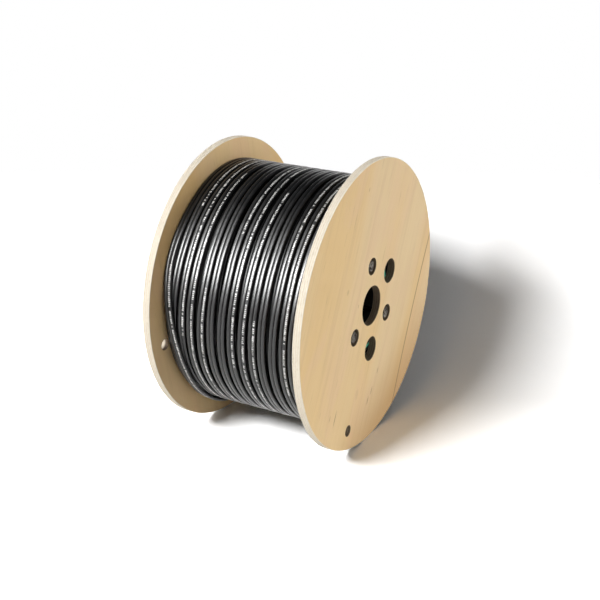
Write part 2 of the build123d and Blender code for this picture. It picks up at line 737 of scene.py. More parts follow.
def grow(
    name: str,
    points: list[Vector],
    edges: list[tuple[int, int]],
    values: dict[str, list[float]],
    recipe: Recipe,
    inputs: dict[str, Any],
) -> bpy.types.Object:
    """Run a Geometry Nodes tree on points and keep the result as a plain mesh object.

    Args:
        name: The new object's name.
        points: The points that the tree starts from.
        edges: Edges between them, as pairs of numbers.
        values: Each point's values, by the name of their attribute.
        recipe: The tree, and the identifiers of its inputs by name.
        inputs: What goes into the tree's other inputs, by name.

    Returns:
        The plain mesh object.
    """
    tree, names = recipe
    start = bpy.data.meshes.new(f"{name}_start")
    start.from_pydata(points, edges, [])
    for label, column in values.items():
        start.attributes.new(label, "FLOAT", "POINT").data.foreach_set("value", column)
    host = add_object(f"{name}_start", start)
    modifier = host.modifiers.new("grow", "NODES")
    modifier.node_group = tree
    for label, value in inputs.items():
        modifier[names[label]] = value
    graph = bpy.context.evaluated_depsgraph_get()
    grown = host.evaluated_get(graph)
    mesh = bpy.data.meshes.new_from_object(grown, preserve_all_data_layers=True, depsgraph=graph)
    mesh.name = name
    host.modifiers.clear()
    bpy.data.objects.remove(host)
    return add_object(name, mesh)


def strip_faces(first: int, second: int, count: int) -> Faces:
    """Faces between two closed rings of points.

    Args:
        first: Number of the first ring's first point.
        second: Number of the second ring's first point.
        count: Points in each ring.

    Returns:
        One four-sided face for each pair of neighbours.
    """
    return [(first + k, first + (k + 1) % count, second + (k + 1) % count, second + k) for k in range(count)]


def polar(x: float, radius: float, angle: float) -> Vector:
    """A point by its place along the X axis, its radius, and its angle from +Y towards +Z."""
    return Vector((x, radius * math.cos(angle), radius * math.sin(angle)))


def lathe(name: str, outline: list[Place], count: int) -> bpy.types.Mesh:
    """Turn a closed outline about the X axis.

    Args:
        name: The mesh's name.
        outline: Places along the axis with their radii.
        count: Points in each ring.

    Returns:
        The turned mesh.
    """
    verts = [polar(x, radius, FULL_TURN * k / count) for x, radius in outline for k in range(count)]
    faces = []
    for ring in range(len(outline)):
        faces += strip_faces(ring * count, (ring + 1) % len(outline) * count, count)
    return mesh_from(name, verts, faces)


def rod_place(number: int) -> Place:
    """Place of a tie rod's line."""
    low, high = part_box(f"tie_rod_{number}")
    return tuple((low + high).yz / 2)


@dataclass(frozen=True)
class Hole:
    """A hole through a flange, with a wider mouth in the outer face where a nut sits in it."""

    y: float
    z: float
    radius: float
    mouth_radius: float = 0.0
    mouth_depth: float = 0.0
    count: int = 60
    clean: bool = False


@dataclass
class Flange:
    """One plywood flange with rounded edges, plies standing proud in turn, and worn holes."""

    side: Side
    veneer: VeneerFinish
    plies: int = 7
    rim_count: int = 400
    rim_round: float = 0.0008
    hole_round: float = 0.0004
    round_steps: int = 3
    ply_relief: float = 0.00012
    least_ply_share: float = 0.25
    inset_parts: int = 12
    wear: float = 0.00035
    wear_scale: float = 70.0
    wear_stretch: float = 3.0
    hole_count: int = 48
    hole_count_per_metre: float = 3000.0
    rod_hole_radius: float = 0.0044
    mouth_radius: float = 0.011
    mouth_depth: float = 0.006
    verts: list[Vector] = field(default_factory=list)
    faces: Faces = field(default_factory=list)
    skins: list[Skin] = field(default_factory=list)
    radius: float = field(init=False)
    thickness: float = field(init=False)
    outer: float = field(init=False)

    def __post_init__(self) -> None:
        """Take the board's size from its CAD node."""
        low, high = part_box(self.node)
        self.radius = (high.z - low.z) / 2
        self.thickness = high.x - low.x
        self.outer = max(abs(low.x), abs(high.x))

    @property
    def node(self) -> str:
        """Name of the CAD node that this flange stands for."""
        return f"{self.side.word}_flange"

    def holes(self) -> list[Hole]:
        """The flange's holes, from the record's bores and the places of the tie rods.

        Returns:
            Every hole with its place and size.
        """
        found = []
        for mount in frame["record"]["mounts"]:
            if mount["kind"] == "bore" and mount["name"].startswith((self.side.word, "spindle")):
                radius = mount["dims"]["r_mm"] / 1000
                count = self.hole_count + int(radius * self.hole_count_per_metre)
                clean = mount["name"] == CLEAN_HOLE
                found.append(Hole(*mount["pos_m"][1:], radius, count=count, clean=clean))
        for number in RODS:
            y, z = rod_place(number)
            found.append(Hole(y, z, self.rod_hole_radius, self.mouth_radius, self.mouth_depth))
        return found

    def corner(self, radius: float, size: float) -> list[Place]:
        """Rings of a rounded edge at the outer face.

        Args:
            radius: Radius of the wall.
            size: Radius of the rounding, negative on a rim, where the wood lies inside the wall.

        Returns:
            Radii with their depths below the face, from the face to the wall.
        """
        turns = [math.pi / 2 * k / self.round_steps for k in range(self.round_steps + 1)]
        return [(radius + size * (1 - math.sin(t)), abs(size) * (1 - math.cos(t))) for t in turns]

    def wall(self, radius: float, size: float, top: float, bottom: float) -> list[Place]:
        """Rings of a sawn wall whose plies stand proud in turn.

        Args:
            radius: Radius of the wall.
            size: Radius of its edges' rounding, whose sign says on which side the wood lies.
            top: Depth at which the wall starts.
            bottom: Depth at which it ends.

        Returns:
            Radii with their depths.
        """
        ply = self.thickness / self.plies
        rings = []
        for number in range(self.plies):
            start, end = max(top, number * ply), min(bottom, (number + 1) * ply)
            if end - start > ply * self.least_ply_share:
                set_back = math.copysign(self.ply_relief * (number % 2), size)
                inset = (end - start) / self.inset_parts
                rings += [(radius + set_back, start + inset), (radius + set_back, end - inset)]
        return rings

    def rim_rings(self) -> list[Place]:
        """Rings of the rim, from the outer face to the inner one.

        Returns:
            Radii with their depths below the outer face.
        """
        size, depth = self.rim_round, self.thickness
        edge = self.corner(self.radius, -size)
        back = [(r, depth - d) for r, d in reversed(edge)]
        return edge + self.wall(self.radius, -size, size, depth - size) + back

    def hole_rings(self, hole: Hole) -> list[Place]:
        """Rings of a hole, from the outer face to the inner one.

        Args:
            hole: The hole.

        Returns:
            Radii about the hole's own line, with their depths.
        """
        size, depth = self.hole_round, self.thickness
        back = [(r, depth - d) for r, d in reversed(self.corner(hole.radius, size))]
        if not hole.mouth_depth:
            return self.corner(hole.radius, size) + self.wall(hole.radius, size, size, depth - size) + back
        mouth = self.corner(hole.mouth_radius, size)
        mouth += self.wall(hole.mouth_radius, size, size, hole.mouth_depth)
        seat = [(hole.mouth_radius, hole.mouth_depth), (hole.radius, hole.mouth_depth)]
        return mouth + seat + self.wall(hole.radius, size, hole.mouth_depth, depth - size) + back

    def add_rings(
        self, rings: list[Place], y: float, z: float, count: int, inward: int, skin: Skin
    ) -> list[list[int]]:
        """Add rings of points and the walls between them.

        Args:
            rings: Radii with their depths below the outer face.
            y: Place of the rings' centre.
            z: Place of the rings' centre.
            count: Points in each ring.
            inward: Sign of the direction in which wear takes wood away.
            skin: The walls' surface.

        Returns:
            The numbers of the first ring's points and of the last ring's.
        """
        first = len(self.verts)
        for radius, depth in rings:
            x = self.side.value * (self.outer - depth)
            for k in range(count):
                cosine, sine = math.cos(FULL_TURN * k / count), math.sin(FULL_TURN * k / count)
                spot = Vector((x * self.wear_stretch, y + radius * cosine, z + radius * sine))
                worn = max(0.0, noise.noise(spot * self.wear_scale)) * self.wear
                reach = radius + inward * worn
                self.verts.append(Vector((x, y + reach * cosine, z + reach * sine)))
        for number in range(len(rings) - 1):
            walls = strip_faces(first + number * count, first + (number + 1) * count, count)
            self.faces += walls
            self.skins += [skin] * len(walls)
        last = first + (len(rings) - 1) * count
        return [list(range(first, first + count)), list(range(last, last + count))]

    def add_face(self, loops: list[list[int]]) -> None:
        """Fill the flat face between the rim's loop and the holes' loops.

        Args:
            loops: Numbers of the points of each loop.
        """
        numbers = [number for loop in loops for number in loop]
        edges, start = [], 0
        for loop in loops:
            edges += [(start + k, start + (k + 1) % len(loop)) for k in range(len(loop))]
            start += len(loop)
        flat = [self.verts[number].yz for number in numbers]
        homes = [number for number, loop in enumerate(loops) for _ in loop]
        _, _, triangles, sources, _, _ = delaunay_2d_cdt(flat, edges, [], 1, FILL_TOLERANCE)
        for triangle in triangles:
            corners = [sources[corner][0] for corner in triangle]
            in_hole = len({homes[corner] for corner in corners}) == 1 and homes[corners[0]] > 0
            if not in_hole:
                self.faces.append(tuple(numbers[corner] for corner in corners))
                self.skins.append(Skin.FACE)

    def build(self) -> None:
        """Build the flange and tie it to the drum."""
        loops = [self.add_rings(self.rim_rings(), 0.0, 0.0, self.rim_count, -1, Skin.RIM)]
        for hole in self.holes():
            skin = Skin.CLEAN_HOLE if hole.clean else Skin.HOLE
            loops.append(self.add_rings(self.hole_rings(hole), hole.y, hole.z, hole.count, 1, skin))
        self.add_face([ends[0] for ends in loops])
        self.add_face([ends[1] for ends in loops])
        mesh = bpy.data.meshes.new(f"{self.node}_board")
        mesh.from_pydata(self.verts, [], self.faces)
        for face, skin in zip(mesh.polygons, self.skins):
            face.material_index = skin.value
            face.use_smooth = skin is not Skin.FACE
        work = bmesh.new()
        work.from_mesh(mesh)
        bmesh.ops.recalc_face_normals(work, faces=work.faces)
        work.to_mesh(mesh)
        work.free()
        self.dress(mesh)
        piece = add_object(f"{self.node}_board", mesh)
        settle(piece, (self.node,))

    def dress(self, mesh: bpy.types.Mesh) -> None:
        """Give the faces, the rim and the holes their finishes; the holes' walls carry painted shade.

        Args:
            mesh: The flange's mesh.
        """
        inner, angle = self.outer - self.thickness, self.veneer.grain_angle
        rim = PlyEdgeFinish(inner_face=inner, thickness=self.thickness, plies=self.plies, grain_angle=angle)
        # Painted shade: the holes' walls are a dark copy of the rim's finish, standing for the shade inside
        # them.
        wall = replace(
            rim, name="hole_wall",
            side_grain=(0.24, 0.19, 0.13), end_grain=(0.18, 0.135, 0.09), glue=(0.09, 0.06, 0.04),
        )
        # The far rim hole keeps the rim's pale colours, with painted shade on the inner half of its wall.
        clean = replace(rim, name="clean_hole_wall", rubbed_share=0.9)
        for finish in (self.veneer, rim, wall, clean):
            mesh.materials.append(finish.material())


@dataclass
class TwinCable:
    """Flat twin cable swept along a path by Geometry Nodes."""

    core_radius: float = 0.00265
    core_points: int = 16
    squareness: float = 3.1
    core_offset: float = 0.985

    def section(self) -> bpy.types.Object:
        """Outline of the twin at a core radius of 1, each point with its share of the way round.

        Returns:
            A helper object that is deleted once the cable is made.
        """
        power, offset = 2 / self.squareness, self.core_offset

        def flatten(value: float) -> float:
            """A sine or cosine brought towards a square's, which flattens the core's crown."""
            return math.copysign(abs(value) ** power, value)

        reach = math.pi - math.acos(offset ** (1 / power))
        turns = [-reach + 2 * reach * k / self.core_points for k in range(self.core_points)]
        right = [(offset + flatten(math.cos(t)), flatten(math.sin(t))) for t in turns]
        outline = right + [(-side, -out) for side, out in right]
        count = len(outline)
        mesh = bpy.data.meshes.new("twin_section")
        points = [(out, -side, 0.0) for side, out in outline]
        mesh.from_pydata(points, [(k, (k + 1) % count) for k in range(count)], [])
        share = mesh.attributes.new("around", "FLOAT", "POINT")
        share.data.foreach_set("value", [k / count for k in range(count)])
        return add_object("twin_section", mesh)

    def tree(self) -> Recipe:
        """Build the sweep's node tree.

        Returns:
            The tree, and the identifiers of its inputs by name.
        """
        graph, given, names = new_tree("sweep_twin", {
            "Path": "NodeSocketGeometry", "Section": "NodeSocketObject",
            "Core Radius": "NodeSocketFloat", "Sheath": "NodeSocketMaterial",
        }, "Cable")
        place = graph.node("GeometryNodeInputPosition")
        split = graph.node("ShaderNodeSeparateXYZ", sockets={0: place}, out="Y")
        outward = graph.vector(0.0, split, split.also("Z"))
        roll = graph.node("GeometryNodeInputNamedAttribute", {"data_type": "FLOAT"}, {"Name": "roll"})
        path = graph.node("GeometryNodeMeshToCurve", sockets={"Mesh": given})
        path = graph.node("GeometryNodeSetCurveNormal", {"mode": "FREE"}, {"Curve": path, "Normal": outward})
        path = graph.node("GeometryNodeSetCurveTilt", sockets={"Curve": path, "Tilt": roll})
        section = given.also("Section")
        outline = graph.node("GeometryNodeObjectInfo", sockets={"Object": section}, out="Geometry")
        outline = graph.node("GeometryNodeMeshToCurve", sockets={"Mesh": outline})
        size = given.also("Core Radius")
        outline = graph.node(
            "GeometryNodeTransform", sockets={"Geometry": outline, "Scale": graph.vector(size, size, size)}
        )
        cable = graph.node(
            "GeometryNodeCurveToMesh", sockets={"Curve": path, "Profile Curve": outline, "Fill Caps": True}
        )
        cable = graph.node("GeometryNodeSetShadeSmooth", sockets={"Geometry": cable})
        cable = graph.node("GeometryNodeRealizeInstances", sockets={"Geometry": cable})
        cable = graph.node(
            "GeometryNodeSetMaterial", sockets={"Geometry": cable, "Material": given.also("Sheath")}
        )
        graph.node("NodeGroupOutput", sockets={"Cable": cable})
        return graph.tree, names

    def sweep(self, name: str, route: list[Station], sheath: bpy.types.Material) -> bpy.types.Object:
        """Sweep the twin along a route.

        Args:
            name: The piece's name.
            route: Points of the route with the twin's roll at each, in radians.
            sheath: The cable's material.

        Returns:
            The cable as a plain mesh object.
        """
        points, rolls = [point for point, _ in route], [roll for _, roll in route]
        lengths = [0.0]
        for here, there in zip(points, points[1:]):
            lengths.append(lengths[-1] + (there - here).length)
        edges = [(k, k + 1) for k in range(len(points) - 1)]
        section = self.section()
        inputs = {"Section": section, "Core Radius": self.core_radius, "Sheath": sheath}
        piece = grow(name, points, edges, {"along": lengths, "roll": rolls}, self.tree(), inputs)
        bpy.data.objects.remove(section)
        LOG.info("%s: %.1f m of cable", name, lengths[-1])
        return piece


def smooth_share(value: float, low: float, high: float) -> float:
    """A smooth step from 0 at the low value to 1 at the high one."""
    share = min(1.0, max(0.0, (value - low) / (high - low)))
    return share * share * (3 - 2 * share)


@dataclass
class Winding:
    """The wound cable: its outer layer, the layer under it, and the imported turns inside.

    Steps, climbs and dips run over spans of turns, counted from the turn that they belong to.
    """

    cable: TwinCable = field(default_factory=TwinCable)
    turn_groups: tuple[int, ...] = (3, 3, 2, 2, 4)
    snug_pitch: float = 0.0128
    group_gap: float = 0.0040
    first_turn: float = 0.0863
    layer_step: float = 0.0050
    start_angle: float = math.radians(150)
    points_per_turn: int = 132
    wander: float = 0.0007
    ripple: float = 0.0003
    roll: float = math.radians(16)
    lead_in: float = 0.92
    tail: float = 2.72
    front_share: float = 0.45
    front_step: Place = (0.0, 0.16)
    rear_step: Place = (0.45, 0.60)
    climb_in: Place = (-0.9, -0.55)
    dip_in: Place = (0.02, 0.09)
    dip_out: Place = (0.3, 0.42)
    climb_out: Place = (0.91, 1.01)
    dip_depth: float = 0.0050
    ride_back_turns: float = 2.6
    under_pitch: float = 0.0125
    under_points_share: float = 0.75
    under_roll_share: float = 0.4
    core_drop: float = 1.4
    core_count: int = 144
    bulge: float = 0.0012
    bulge_steps: int = 5
    barrel_clearance: float = 0.0002
    limit: float = field(init=False)
    half_width: float = field(init=False)
    outer: float = field(init=False)
    bore: float = field(init=False)

    def __post_init__(self) -> None:
        """Take the winding's width and radius from its CAD node."""
        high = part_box("cable_winding")[1]
        self.limit = high.x - 2 * self.cable.core_radius
        self.half_width = high.x
        self.outer = high.z - self.cable.core_radius
        self.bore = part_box("barrel")[1].z + self.barrel_clearance

    def turn_places(self) -> list[float]:
        """Places along the axle line of the outer layer's turns, at the start angle.

        Returns:
            The turn that climbs beside the near flange, the spaced turns, and the last one that rides back.
        """
        places, place = [self.limit], self.first_turn
        for count in self.turn_groups:
            for _ in range(count):
                places.append(max(place, -self.limit))
                place -= self.snug_pitch
            place -= self.group_gap
        ride_back = -self.limit + self.ride_back_turns * self.snug_pitch
        return places + [-self.limit, ride_back]

    def drift(self, share: float) -> float:
        """How far a turn has moved over to the next one's place, part of the way round."""
        front = self.front_share * smooth_share(share, *self.front_step)
        return front + (1 - self.front_share) * smooth_share(share, *self.rear_step)

    def rise(self, turn: float) -> float:
        """Height of the outer layer's cable above its own layer.

        Args:
            turn: Turns since the first spaced turn's start angle.

        Returns:
            The height in metres, negative in a dip.
        """
        past_last = turn - (sum(self.turn_groups) - 1)
        climb_in = self.layer_step * (smooth_share(turn, *self.climb_in) - 1)
        dip = smooth_share(past_last, *self.dip_in) - smooth_share(past_last, *self.dip_out)
        climb_out = self.layer_step * smooth_share(past_last, *self.climb_out)
        return climb_in - self.dip_depth * dip + climb_out

    def outer_route(self) -> list[Station]:
        """Route of the outer layer, from the near flange to the far one and a little way back on top.

        Returns:
            Points of the route with the twin's roll at each.
        """
        places = self.turn_places()
        route = []
        first, last = -self.lead_in, len(places) - self.tail
        count = int((last - first) * self.points_per_turn)
        for k in range(count + 1):
            turn = first + (last - first) * k / count
            number = math.floor(turn)
            here, there = places[number + 1], places[number + 2]
            x = here + (there - here) * self.drift(turn - number)
            x += self.wander * noise.noise(Vector((turn * 4.1, number * 0.7, 2.0)))
            x = min(self.limit, max(-self.limit, x))
            radius = self.outer + self.rise(turn)
            radius += self.ripple * noise.noise(Vector((turn * 5.3, 9.0, 1.0)))
            roll = self.roll * noise.noise(Vector((turn * 2.7, 4.0, 6.0)))
            angle = self.start_angle + FULL_TURN * turn
            route.append((polar(x, radius, angle), roll))
        return route

    def under_route(self) -> list[Station]:
        """Route of the layer under the outer one, wound the other way across the drum.

        Returns:
            Points of the route with the twin's roll at each.
        """
        turns = 2 * self.limit / self.under_pitch
        count = int(turns * self.points_per_turn * self.under_points_share)
        route = []
        for k in range(count + 1):
            turn = turns * k / count
            x = -self.limit + 2 * self.limit * k / count
            x += self.wander * noise.noise(Vector((turn * 3.7, 1.0, 5.0)))
            x = min(self.limit, max(-self.limit, x))
            radius = self.outer - self.layer_step
            angle = FULL_TURN * turn
            roll = self.roll * self.under_roll_share * noise.noise(Vector((turn * 2.1, 8.0, 3.0)))
            route.append((polar(x, radius, angle), roll))
        return route

    def core_mesh(self) -> bpy.types.Mesh:
        """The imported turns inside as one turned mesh, with its layers showing on its ends.

        Returns:
            The turned mesh.
        """
        layers = round((self.outer - 2 * self.layer_step - self.bore) / self.layer_step)
        top = self.outer - self.core_drop * self.layer_step
        step = (top - self.bore) / layers
        bulge, steps = self.bulge, self.bulge_steps
        right = []
        for layer in range(layers):
            for k in range(steps):
                share = k / steps
                x = self.half_width - bulge + bulge * math.sin(math.pi * share)
                right.append((x, self.bore + (layer + share) * step))
        turns = round(2 * self.half_width / self.under_pitch)
        across = []
        for k in range(turns * steps + 1):
            share = k / (turns * steps)
            x = (self.half_width - bulge) * (1 - 2 * share)
            across.append((x, top - bulge * (1 - abs(math.sin(math.pi * k / steps)))))
        left = [(-x, r) for x, r in reversed(right)]
        return lathe("winding_core", right + across + left, self.core_count)

    def build(self) -> None:
        """Build the three pieces and tie them to the drum."""
        printed = SheathFinish(name="sheath_printed", printed=True).material()
        # Painted shade: the buried turns and the core get a darker, duller copy of the sheath, so the gaps
        # between the outer turns stay black.
        plain = SheathFinish(name="sheath_plain", black=(0.004, 0.004, 0.004), gloss=0.15).material()
        outer = self.cable.sweep("outer_turns", self.outer_route(), printed)
        settle(outer, ("cable_winding",))
        under = self.cable.sweep("under_turns", self.under_route(), plain)
        settle(under)
        core = add_object("winding_core", self.core_mesh())
        core.data.materials.append(plain)
        settle(core)


@dataclass
class TieHardware:
    """Threaded tie rods with their washers and thin nuts, placed by Geometry Nodes."""

    thread_pitch: float = 0.00125
    thread_depth: float = 0.0004
    thread_clearance: float = 0.0001
    rod_count: int = 20
    points_per_pitch: int = 4
    rod_end_drop: float = 0.0008
    rod_end_slope: float = 0.8
    washer_edge: float = 0.00015
    washer_clearance: float = 0.0002
    washer_count: int = 64
    across_flats: float = 0.013
    countersink: float = 0.0006
    nut_count: int = 72
    nut_turn: float = math.radians(12)
    chamfer_angle: float = math.radians(60)
    chamfer_shares: tuple[float, ...] = (0.0, 0.03, 0.06, 0.10, 0.14, 0.2)
    flat_share: float = 0.955
    rod_radius: float = field(init=False)
    plating: bpy.types.Material = field(init=False)

    def __post_init__(self) -> None:
        """Take the rods' size from a CAD node, and make the plating that all the steel shares."""
        low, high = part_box("tie_rod_1")
        self.rod_radius = (high.z - low.z) / 2
        self.plating = ZincFinish().material()

    def nut_mesh(self) -> bpy.types.Mesh:
        """A hexagon nut with chamfered corners and a countersunk thread, from the axle's zero outwards.

        Returns:
            The nut's mesh.
        """
        low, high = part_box("near_nut_1")
        height = high.x - low.x
        flats = self.across_flats / 2
        bore, sink = self.rod_radius + self.thread_clearance, self.countersink
        face = flats * self.flat_share
        slope = math.tan(self.chamfer_angle)
        drops = [height * share for share in self.chamfer_shares]
        levels = drops + [height - drop for drop in reversed(drops)]
        verts, faces, rings = [], [], []

        def ring(x: float, reach: float | None, drop: float = 0.0) -> None:
            """Add a ring: round where a reach is given, else the hexagon cut by its chamfer.

            Args:
                x: The ring's place along the axis.
                reach: Its radius, or None for the hexagon.
                drop: Depth below the nearer end of the nut.
            """
            rings.append(len(verts))
            for k in range(self.nut_count):
                turn = FULL_TURN * k / self.nut_count
                corner = (turn + math.pi / 6) % (math.pi / 3) - math.pi / 6
                radius = reach or min(flats / math.cos(corner), face + drop * slope)
                verts.append(polar(x, radius, turn))

        ring(sink, bore)
        ring(0.0, bore + sink)
        for level in levels:
            ring(level, None, min(level, height - level))
        ring(height, bore + sink)
        ring(height - sink, bore)
        for first, second in zip(rings, rings[1:] + rings[:1]):
            faces += strip_faces(first, second, self.nut_count)
        return mesh_from("nut", verts, faces, smooth=False)

    def washer_mesh(self) -> bpy.types.Mesh:
        """A flat washer with softened edges.

        Returns:
            The washer's mesh.
        """
        low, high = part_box("near_washer_1")
        thick, outer, edge = high.x - low.x, (high.z - low.z) / 2, self.washer_edge
        inner = self.rod_radius + self.washer_clearance
        outline = [
            (0.0, inner + edge), (0.0, outer - edge), (edge, outer), (thick - edge, outer),
            (thick, outer - edge), (thick, inner + edge), (thick - edge, inner), (edge, inner),
        ]
        made = lathe("washer", outline, self.washer_count)
        made.shade_flat()
        return made

    def rod_mesh(self) -> bpy.types.Mesh:
        """A threaded rod with chamfered ends, about the X axis.

        Returns:
            The rod's mesh.
        """
        reach, radius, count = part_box("tie_rod_1")[1].x, self.rod_radius, self.rod_count
        steps = int(2 * reach / self.thread_pitch * self.points_per_pitch)
        verts, faces = [], []
        for k in range(steps + 1):
            x = -reach + 2 * reach * k / steps
            for j in range(count):
                share = (x / self.thread_pitch + j / count) % 1.0
                groove = self.thread_depth * (1 - abs(2 * share - 1))
                end = radius - self.rod_end_drop + (reach - abs(x)) * self.rod_end_slope
                r = min(radius - groove, end)
                verts.append(polar(x, r, FULL_TURN * j / count))
        for k in range(steps):
            faces += strip_faces(k * count, (k + 1) * count, count)
        faces += [tuple(range(count)), tuple(range(steps * count, (steps + 1) * count))]
        return mesh_from("rod", verts, faces, smooth=False)

    def tree(self) -> Recipe:
        """Build the tree that sets a fastener on each point.

        Returns:
            The tree, and the identifiers of its inputs by name.
        """
        graph, given, names = new_tree("set_fasteners", {
            "Places": "NodeSocketGeometry", "Fastener": "NodeSocketObject", "Plating": "NodeSocketMaterial",
        }, "Fasteners")
        turn, about = (
            graph.node("GeometryNodeInputNamedAttribute", {"data_type": "FLOAT"}, {"Name": name})
            for name in ("turn", "about")
        )
        fastener = given.also("Fastener")
        shape = graph.node("GeometryNodeObjectInfo", sockets={"Object": fastener}, out="Geometry")
        turned = graph.node("FunctionNodeEulerToRotation", sockets={"Euler": graph.vector(turn, 0.0, about)})
        placed = graph.node(
            "GeometryNodeInstanceOnPoints", sockets={"Points": given, "Instance": shape, "Rotation": turned}
        )
        placed = graph.node("GeometryNodeRealizeInstances", sockets={"Geometry": placed})
        placed = graph.node(
            "GeometryNodeSetMaterial", sockets={"Geometry": placed, "Material": given.also("Plating")}
        )
        graph.node("NodeGroupOutput", sockets={"Fasteners": placed})
        return graph.tree, names

    def spread(self, name: str, shape: bpy.types.Mesh, spots: list[Spot], nodes: tuple[str, ...]) -> None:
        """Set one shape at several spots and tie the result to the drum.

        Args:
            name: The piece's name.
            shape: The shape, about the X axis, reaching outwards from zero.
            spots: Places with the turn about the axle line and the turn about the upright.
            nodes: The CAD nodes that the piece stands for.
        """
        points, turns, abouts = (list(column) for column in zip(*spots))
        pattern = add_object(f"{name}_pattern", shape)
        inputs = {"Fastener": pattern, "Plating": self.plating}
        piece = grow(name, points, [], {"turn": turns, "about": abouts}, self.tree(), inputs)
        bpy.data.objects.remove(pattern)
        settle(piece, nodes)

    def spots(self, kind: str) -> tuple[list[Spot], tuple[str, ...]]:
        """Where the washers or nuts sit, and the names of their nodes.

        Args:
            kind: "washer" or "nut".

        Returns:
            The spots and the nodes.
        """
        spots, nodes = [], []
        for side in Side:
            for number in RODS:
                node = f"{side.word}_{kind}_{number}"
                low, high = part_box(node)
                y, z = (low + high).yz / 2
                seat = low.x if side is Side.NEAR else high.x
                turn = side.value * (math.atan2(z, y) + self.nut_turn)
                spots.append((Vector((seat, y, z)), turn, 0.0 if side is Side.NEAR else math.pi))
                nodes.append(node)
        return spots, tuple(nodes)

    def build(self) -> None:
        """Build the rods, washers and nuts."""
        rod_spots = [(Vector((0.0, *rod_place(number))), 0.0, 0.0) for number in RODS]
        self.spread("tie_rods", self.rod_mesh(), rod_spots, tuple(f"tie_rod_{number}" for number in RODS))
        self.spread("tie_washers", self.washer_mesh(), *self.spots("washer"))
        self.spread("tie_nuts", self.nut_mesh(), *self.spots("nut"))


def dress_barrel() -> None:
    """Give the barrel's CAD node its green finish."""
    slots = frame["nodes"]["barrel"].data.materials
    slots.clear()
    slots.append(TubeFinish().material())
    LOG.info("barrel: CAD node with a new finish")


@dataclass(frozen=True)
class PaperFinish(Finish):
    """White studio paper that keeps the drum's shadow and can be looked through from behind."""

    name: str = "studio_paper"
    lit: Colour = (0.40, 0.40, 0.40)
    seen: Colour = (1.25, 1.25, 1.25)
    fade_from: float = 0.03
    fade_to: float = 0.10

    def surface(self, graph: Graph) -> Sock:
        """The shader: paler where it is looked at, clear on its back, fading upwards for the camera.

        Args:
            graph: The material's graph.

        Returns:
            The shader's output.
        """
        _, _, height = graph.axes()
        camera = graph.node("ShaderNodeLightPath", out="Is Camera Ray")
        lit = graph.node("ShaderNodeBsdfDiffuse", sockets={"Color": self.lit})
        seen = graph.node("ShaderNodeBsdfDiffuse", sockets={"Color": self.seen})
        paper = graph.node("ShaderNodeMixShader", sockets={0: graph.looked_at(), 1: lit, 2: seen})
        behind = graph.node("ShaderNodeNewGeometry", out="Backfacing")
        clear = graph.node("ShaderNodeBsdfTransparent")
        faded = graph.step(height, self.fade_from, self.fade_to) * camera
        return graph.node("ShaderNodeMixShader", sockets={0: behind.most(faded), 1: paper, 2: clear})


@dataclass(frozen=True)
class FlagFinish(Finish):
    """Black cloth of a studio flag."""

    name: str = "studio_flag"
    black: Colour = (0.02, 0.02, 0.02)

    def surface(self, graph: Graph) -> Sock:
        """The shader: matt black."""
        return graph.node("ShaderNodeBsdfDiffuse", sockets={"Color": self.black})


class Use(Enum):
    """What a light is for."""

    DRUM = "lights the drum alone"
    PAPER = "lights the paper alone"
    SHEEN = "shows in reflections alone"


@dataclass(frozen=True)
class Softbox:
    """A rectangular light that faces the drum from a direction and a distance."""

    name: str
    use: Use
    azimuth: float
    elevation: float
    distance: float
    half_width: float
    half_height: float
    level: float

    @property
    def direction(self) -> Vector:
        """From the drum towards the light."""
        turn, rise = math.radians(self.azimuth), math.radians(self.elevation)
        return Vector((math.sin(turn) * math.cos(rise), -math.cos(turn) * math.cos(rise), math.sin(rise)))

    def build(self, receivers: dict[Use, bpy.types.Collection]) -> None:
        """Build the lamp, strong enough to give a surface that faces it its level.

        Args:
            receivers: What a light is linked to, for the uses that need it.
        """
        lamp = bpy.data.lights.new(self.name, "AREA")
        lamp.shape = "RECTANGLE"
        lamp.size = 2 * self.distance * math.tan(math.radians(self.half_width))
        lamp.size_y = 2 * self.distance * math.tan(math.radians(self.half_height))
        lamp.energy = self.level * (math.pi * self.distance) ** 2
        made = bpy.data.objects.new(self.name, lamp)
        made.location = self.direction * self.distance
        made.rotation_mode = "QUATERNION"
        made.rotation_quaternion = self.direction.to_track_quat("Z", "Y")
        made.visible_camera = False
        made.visible_glossy = self.use is Use.SHEEN
        made.visible_diffuse = self.use is not Use.SHEEN
        if self.use in receivers:
            made.light_linking.receiver_collection = receivers[self.use]
        bpy.context.collection.objects.link(made)


